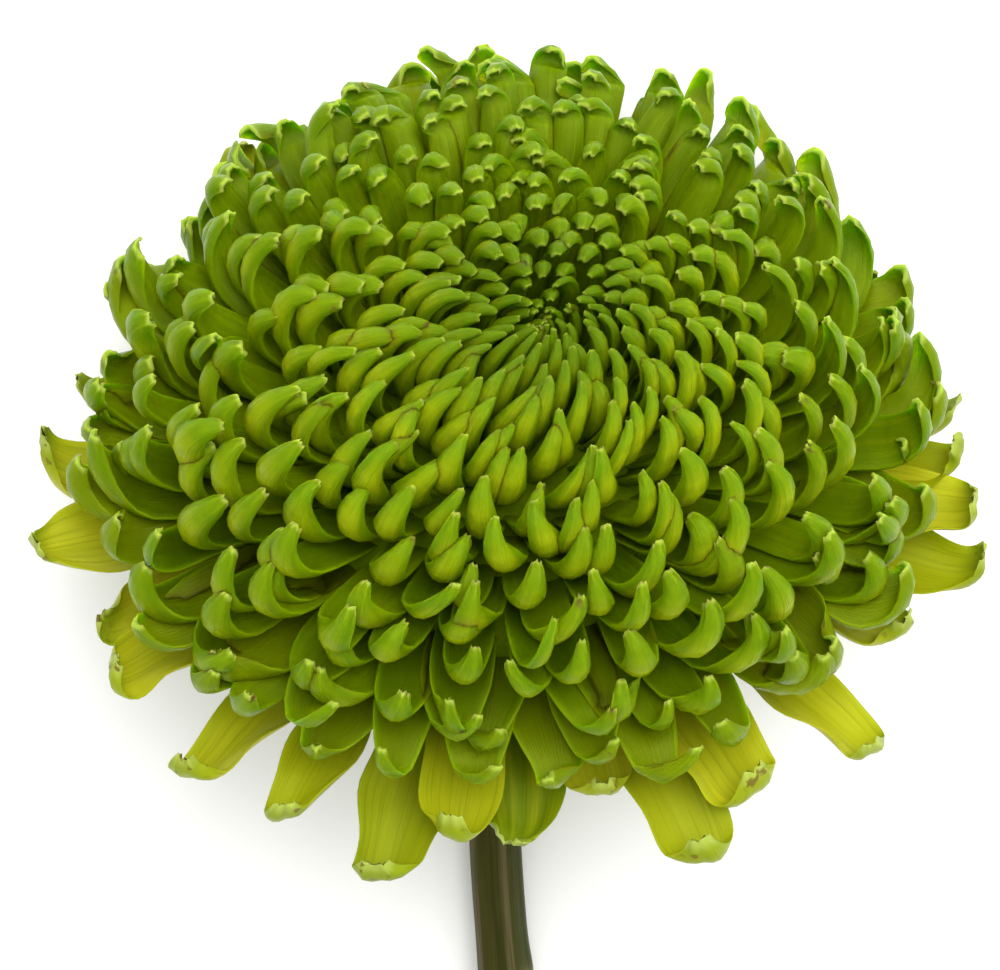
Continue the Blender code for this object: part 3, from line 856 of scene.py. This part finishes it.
def bract_skin():
    """Dull green, with a papery brown rim and fine lines along it."""
    tree = SkinTree("bract skin", 0.55)
    s, v, tone = (tree.attribute(key) for key in ("s", "v", "tone"))
    lines = tree.noise(tree.vector(v * 6.0, s * 1.5, tone * 40.0), 2.0, 3.0)
    color = tree.mix(lines, (0.060, 0.100, 0.008), (0.130, 0.180, 0.030))
    rim = tree.step(v * v, 0.6, 0.95) + tree.step(s, 0.85, 1.0)
    color = tree.mix(rim.join("MINIMUM", 1.0) * 0.7, color, (0.220, 0.200, 0.090))
    return tree.finish(color, lines, 0.1 * MM, 0.6)


def stem_skin():
    """Dark olive with paler, rosy ribs, faint dapples, tan leaf scars and a moist, pale cut end."""
    tree = SkinTree("stem skin", 0.5, 0.2, STEM_SHEEN)
    across, upward, along, rib, scar, depth = (
        tree.attribute(key) for key in ("across", "upward", "along", "rib", "scar", "depth")
    )
    grain = tree.noise(tree.vector(across * 3.0, upward * 3.0, along * 30.0), 1.5, 3.0)
    lines = tree.noise(tree.vector(across * 14.0, upward * 14.0, along * 60.0), 1.5, 2.0)
    dapples = tree.noise(tree.place(), 180.0, 3.0)
    color = tree.mix(tree.step(grain, 0.35, 0.65), (0.021, 0.022, 0.003), (0.038, 0.036, 0.006))
    color = tree.mix(tree.step(dapples, 0.50, 0.72) * 0.6, color, (0.022, 0.040, 0.005))
    ridge = tree.step(rib, 0.45, 0.98) * (0.35 + 0.65 * tree.step(lines, 0.35, 0.6))
    color = tree.mix(ridge * 0.7, color, (0.120, 0.092, 0.048))
    color = tree.mix(tree.step(lines, 0.58, 0.75) * 0.3, color, (0.100, 0.090, 0.045))
    color = tree.mix(scar * 0.8, color, (0.240, 0.180, 0.095))
    cut = tree.step(depth, 0.01, 0.04)
    wood = tree.mix(tree.step(depth, 0.15, 0.35), (0.100, 0.130, 0.030), (0.420, 0.430, 0.240))
    wood = tree.mix(tree.step(lines, 0.45, 0.6) * 0.4, wood, (0.250, 0.260, 0.110))
    color = tree.mix(cut, color, wood)
    return tree.finish(color, lines + grain, 0.08 * MM, 0.5)


def hair_skin():
    """Colourless hairs with a little shine."""
    tree = SkinTree("hair skin", 0.4, 0.3)
    tones = tree.noise(tree.place(), 700.0, 1.0)
    color = tree.mix(tones, (0.180, 0.170, 0.110), (0.320, 0.310, 0.230))
    return tree.finish(color, tones, 0.01 * MM, 0.2)


def heart_skin():
    """The dark green flesh between the florets' roots."""
    tree = SkinTree("heart skin", 0.6, 0.05, LEAF_SHEEN)
    lumps = tree.noise(tree.place(), 900.0, 3.0)
    color = tree.mix(lumps, (0.080, 0.140, 0.0005), (0.150, 0.230, 0.0010))
    return tree.finish(color, lumps, 0.3 * MM, 0.8)


def make_green_florets(group):
    """The outer florets, which show from near by, have more stations and sides than those round the eye."""
    florets = green_florets()
    skin = green_floret_skin()
    outer = [floret for floret in florets if floret["age"] < OUTER_AGE]
    inner = [floret for floret in florets if floret["age"] >= OUTER_AGE]
    for name, part, stations, sides in (
        ("outer_green_florets", outer, 18, 20),
        ("inner_green_florets", inner, 14, 16),
    ):
        sizes = {
            "Stations": stations, "Sides": sides, "Tooth": 0.03, "Keel": 0.05, "Rounding Start": 0.92,
            "Groove": 0.08 * MM, "Wave": 0.0, "Material": skin,
        }
        piece = grown(name, floret_points(name + " points", part), group, sizes)
        settle(piece, "green_floret", "green_florets")


def make_yellow_florets(group):
    sizes = {
        "Stations": 34, "Sides": 24, "Tooth": 0.016, "Keel": 0.0, "Rounding Start": 0.86,
        "Groove": 0.18 * MM, "Wave": 0.5 * MM, "Material": yellow_floret_skin(),
    }
    piece = grown("yellow_florets_skin", floret_points("yellow points", yellow_florets()), group, sizes)
    settle(piece, "yellow_floret", "yellow_florets")


def make_heart():
    mesh = ring_mesh("heart_flesh", turned_rings(HEART_OUTLINE, HEART_SIDES, HEART_STEPS), heart_skin())
    settle(piece_of("heart_flesh", mesh), "green_floret")


def make_bracts(group):
    sizes = {
        "Stations": 9, "Sides": 12, "Tooth": 0.0, "Keel": 0.0, "Rounding Start": 0.86,
        "Groove": 0.1 * MM, "Wave": 0.0, "Material": bract_skin(),
    }
    piece = grown("bracts_skin", floret_points("bract points", bracts()), group, sizes)
    settle(piece, "bract", "involucre")
    cup = ring_mesh("cup_skin", turned_rings(CUP_OUTLINE, HEART_SIDES, CUP_STEPS), bract_skin())
    settle(piece_of("cup_skin", cup), "bract")


def stem_route():
    """Middle, slope and way from the cup of each ring of the stem, down to its cut end."""
    place = placed(np.array([[0.0, 0.0, STEM_START]]))[0]
    steepest = math.pi / 2 - HEAD_TILT
    slopes = steepest * (1 - smooth((np.arange(STEM_BEND_STEPS) + 0.5) / STEM_BEND_STEPS))
    bend_length = (place[2] - STEM_LIE_HEIGHT) / np.sin(slopes).mean()
    length = bend_length + place[1] - bend_length * np.cos(slopes).mean() - STEM_END
    step = length / STEM_RINGS
    route = []
    for ring in range(STEM_RINGS + 1):
        share = ring / STEM_RINGS
        slope = steepest * (1 - smooth(share * length / bend_length))
        sway = -STEM_SWAY * math.sin(2 * math.pi * share) * smooth(share / STEM_SWAY_START)
        route.append((place + np.array([sway, 0.0, 0.0]), slope, share * length))
        next_slope = steepest * (1 - smooth((share * length + 0.5 * step) / bend_length))
        place = place - step * np.array([0.0, math.cos(next_slope), math.sin(next_slope)])
    return route


def scar_at(place, angles):
    """How near each point of a ring is to the middle of a leaf scar, from 0 to 1."""
    near = np.zeros(len(angles))
    for node_y, side in STEM_NODES:
        along = math.exp(-(((place[1] - node_y) / (SCAR_LENGTH_SHARE * STEM_NODE_REACH)) ** 2))
        near = np.maximum(near, along * smooth((side * np.cos(angles) - SCAR_EDGE) / SCAR_FADE))
    return near


def stem_ring(place, slope, along, angles, share=1.0):
    """One ring of the ribbed stem, wider at its neck and at each leaf scar, and flat where it lies."""
    radius = STEM_RADIUS + (STEM_NECK_RADIUS - STEM_RADIUS) * (1 - smooth(along / STEM_NECK_LENGTH))
    ribs = STEM_RIB_SHARE * np.cos(STEM_RIBS * angles) + STEM_FINE_RIB_SHARE * np.cos(4 * STEM_RIBS * angles)
    reach = radius * (1 + ribs)
    for node_y, side in STEM_NODES:
        near = math.exp(-(((place[1] - node_y) / STEM_NODE_REACH) ** 2))
        round_it = STEM_NODE_ROUND + (1 - STEM_NODE_ROUND) * np.maximum(side * np.cos(angles), 0.0)
        reach = reach * (1 + STEM_NODE_SHARE * near * round_it)
    reach = reach * (1 - SCAR_DEPTH * scar_at(place, angles)) * share
    up = np.array([0.0, math.sin(slope), -math.cos(slope)])
    ring = place + np.outer(reach * np.cos(angles), (1.0, 0.0, 0.0)) + np.outer(reach * np.sin(angles), up)
    ring[:, 2] = np.maximum(ring[:, 2], 0.0)
    return ring


def stem_mesh():
    angles = np.arange(STEM_SIDES) * 2 * math.pi / STEM_SIDES
    rings = []
    looks = {"across": [], "upward": [], "along": [], "rib": [], "scar": [], "depth": []}
    stations = [(*station, 1.0) for station in stem_route()]
    stations += [(*stations[-1][:3], share) for share in CUT_SHARES]
    for place, slope, along, share in stations:
        rings.append(stem_ring(place, slope, along, angles, share))
        looks["across"].extend(share * np.cos(angles))
        looks["upward"].extend(share * np.sin(angles))
        looks["along"].extend([along] * STEM_SIDES)
        looks["rib"].extend(np.cos(STEM_RIBS * angles))
        looks["scar"].extend(scar_at(place, angles))
        looks["depth"].extend([1.0 - share] * STEM_SIDES)
    mesh = ring_mesh("stem_skin", rings, stem_skin())
    for key, values in looks.items():
        mesh.attributes.new(key, "FLOAT", "POINT").data.foreach_set("value", values)
    return mesh


def hair_tree():
    """Short soft hairs scattered over a mesh, none of them on the side that it lies on."""
    tree = ShapeTree("Hairs")
    density = tree.size("Density")
    length = tree.size("Length")
    seed = tree.size("Seed", "NodeSocketInt")
    material = tree.size("Material", "NodeSocketMaterial")
    normal = tree.field("GeometryNodeInputNormal")
    open_side = tree.step(tree.parts(normal)[2], *HAIR_OPEN_SIDE)
    inputs = {"Mesh": tree.inlet.outputs["Geometry"], "Density": density * open_side, "Seed": seed}
    points = tree.node("GeometryNodeDistributePointsOnFaces", inputs)
    inputs = {
        "Vertices": 3, "Side Segments": 2, "Radius Top": HAIR_TIP, "Radius Bottom": HAIR_ROOT,
        "Depth": length,
    }
    hair = tree.node("GeometryNodeMeshCone", inputs)
    inputs = {0: (-HAIR_LEAN, -HAIR_LEAN, 0.0), 1: (HAIR_LEAN, HAIR_LEAN, HAIR_TURN), "Seed": seed}
    spread = tree.field("FunctionNodeRandomValue", inputs, data_type="FLOAT_VECTOR")
    inputs = {0: points.outputs["Rotation"], 1: spread}
    turned = tree.node("FunctionNodeRotateEuler", inputs, rotation_type="EULER", space="LOCAL")
    inputs = {2: HAIR_LENGTHS[0], 3: HAIR_LENGTHS[1], "Seed": seed}
    grown_to = tree.field("FunctionNodeRandomValue", inputs, output=1, data_type="FLOAT")
    inputs = {
        "Points": points.outputs["Points"], "Instance": hair.outputs["Mesh"],
        "Rotation": turned.outputs[0], "Scale": tree.vector(1.0, 1.0, grown_to),
    }
    copies = tree.node("GeometryNodeInstanceOnPoints", inputs)
    whole = tree.node("GeometryNodeRealizeInstances", {"Geometry": copies.outputs[0]})
    return tree.finish(whole.outputs[0], material)


def make_stem():
    mesh = stem_mesh()
    seeds = piece_of("stem hair seeds", mesh.copy())
    settle(piece_of("stem_surface", mesh), "stem_skin", "stem")
    sizes = {"Density": HAIR_DENSITY, "Length": HAIR_LENGTH, "Seed": SEED, "Material": hair_skin()}
    settle(grown("stem_hairs", seeds, hair_tree(), sizes), "stem_skin")


def make_camera():
    """Straight above the bloom, with the photo's own scale at the heart's height."""
    data = bpy.data.cameras.new("camera")
    data.sensor_width = CAMERA_SENSOR
    data.lens = data.sensor_width * CAMERA_DISTANCE / (PHOTO_SIZE[0] * PHOTO_PIXEL)
    data.clip_start = 0.01
    camera = bpy.data.objects.new("camera", data)
    bpy.context.scene.collection.objects.link(camera)
    camera.location = (
        HEAD_PLACE[0] + (PHOTO_SIZE[0] / 2 - HEART_PIXEL[0]) * PHOTO_PIXEL,
        HEAD_PLACE[1] - (PHOTO_SIZE[1] / 2 - HEART_PIXEL[1]) * PHOTO_PIXEL,
        HEAD_PLACE[2] + CAMERA_DISTANCE,
    )
    bpy.context.scene.camera = camera


def floor_skin():
    """White paper with hardly any grain."""
    tree = SkinTree("floor paper", 0.8, 0.1)
    grain = tree.noise(tree.place(), 40.0, 2.0)
    color = tree.mix(grain, (0.93, 0.93, 0.93), (0.96, 0.96, 0.96))
    return tree.finish(color, grain, 0.01 * MM, 0.1)


def make_studio():
    """A pale floor, an even white surround and one broad soft lamp beyond the bloom's far rim."""
    scene = bpy.context.scene
    scene.view_settings.view_transform = "Standard"
    half = FLOOR_HALF
    floor = bpy.data.meshes.new("floor")
    corners = [(-half, -half, 0), (half, -half, 0), (half, half, 0), (-half, half, 0)]
    floor.from_pydata(corners, [], [(0, 1, 2, 3)])
    floor.materials.append(floor_skin())
    floor_object = bpy.data.objects.new("floor", floor)
    scene.collection.objects.link(floor_object)
    world = bpy.data.worlds.new("studio")
    world.use_nodes = True
    world.node_tree.nodes["Background"].inputs["Color"].default_value = (1, 1, 1, 1)
    world.node_tree.nodes["Background"].inputs["Strength"].default_value = SURROUND_LIGHT
    scene.world = world
    lamp = bpy.data.lights.new("key", "AREA")
    lamp.size = LAMP_SIZE
    lamp.energy = LAMP_ENERGY
    key = bpy.data.objects.new("key", lamp)
    scene.collection.objects.link(key)
    key.location = LAMP_PLACE
    aim = Vector(HEAD_PLACE) - key.location
    key.rotation_euler = aim.to_track_quat("-Z", "Y").to_euler()


make_camera()
make_studio()
florets_group = floret_tree()
make_green_florets(florets_group)
make_yellow_florets(florets_group)
make_heart()
make_bracts(florets_group)
make_stem()
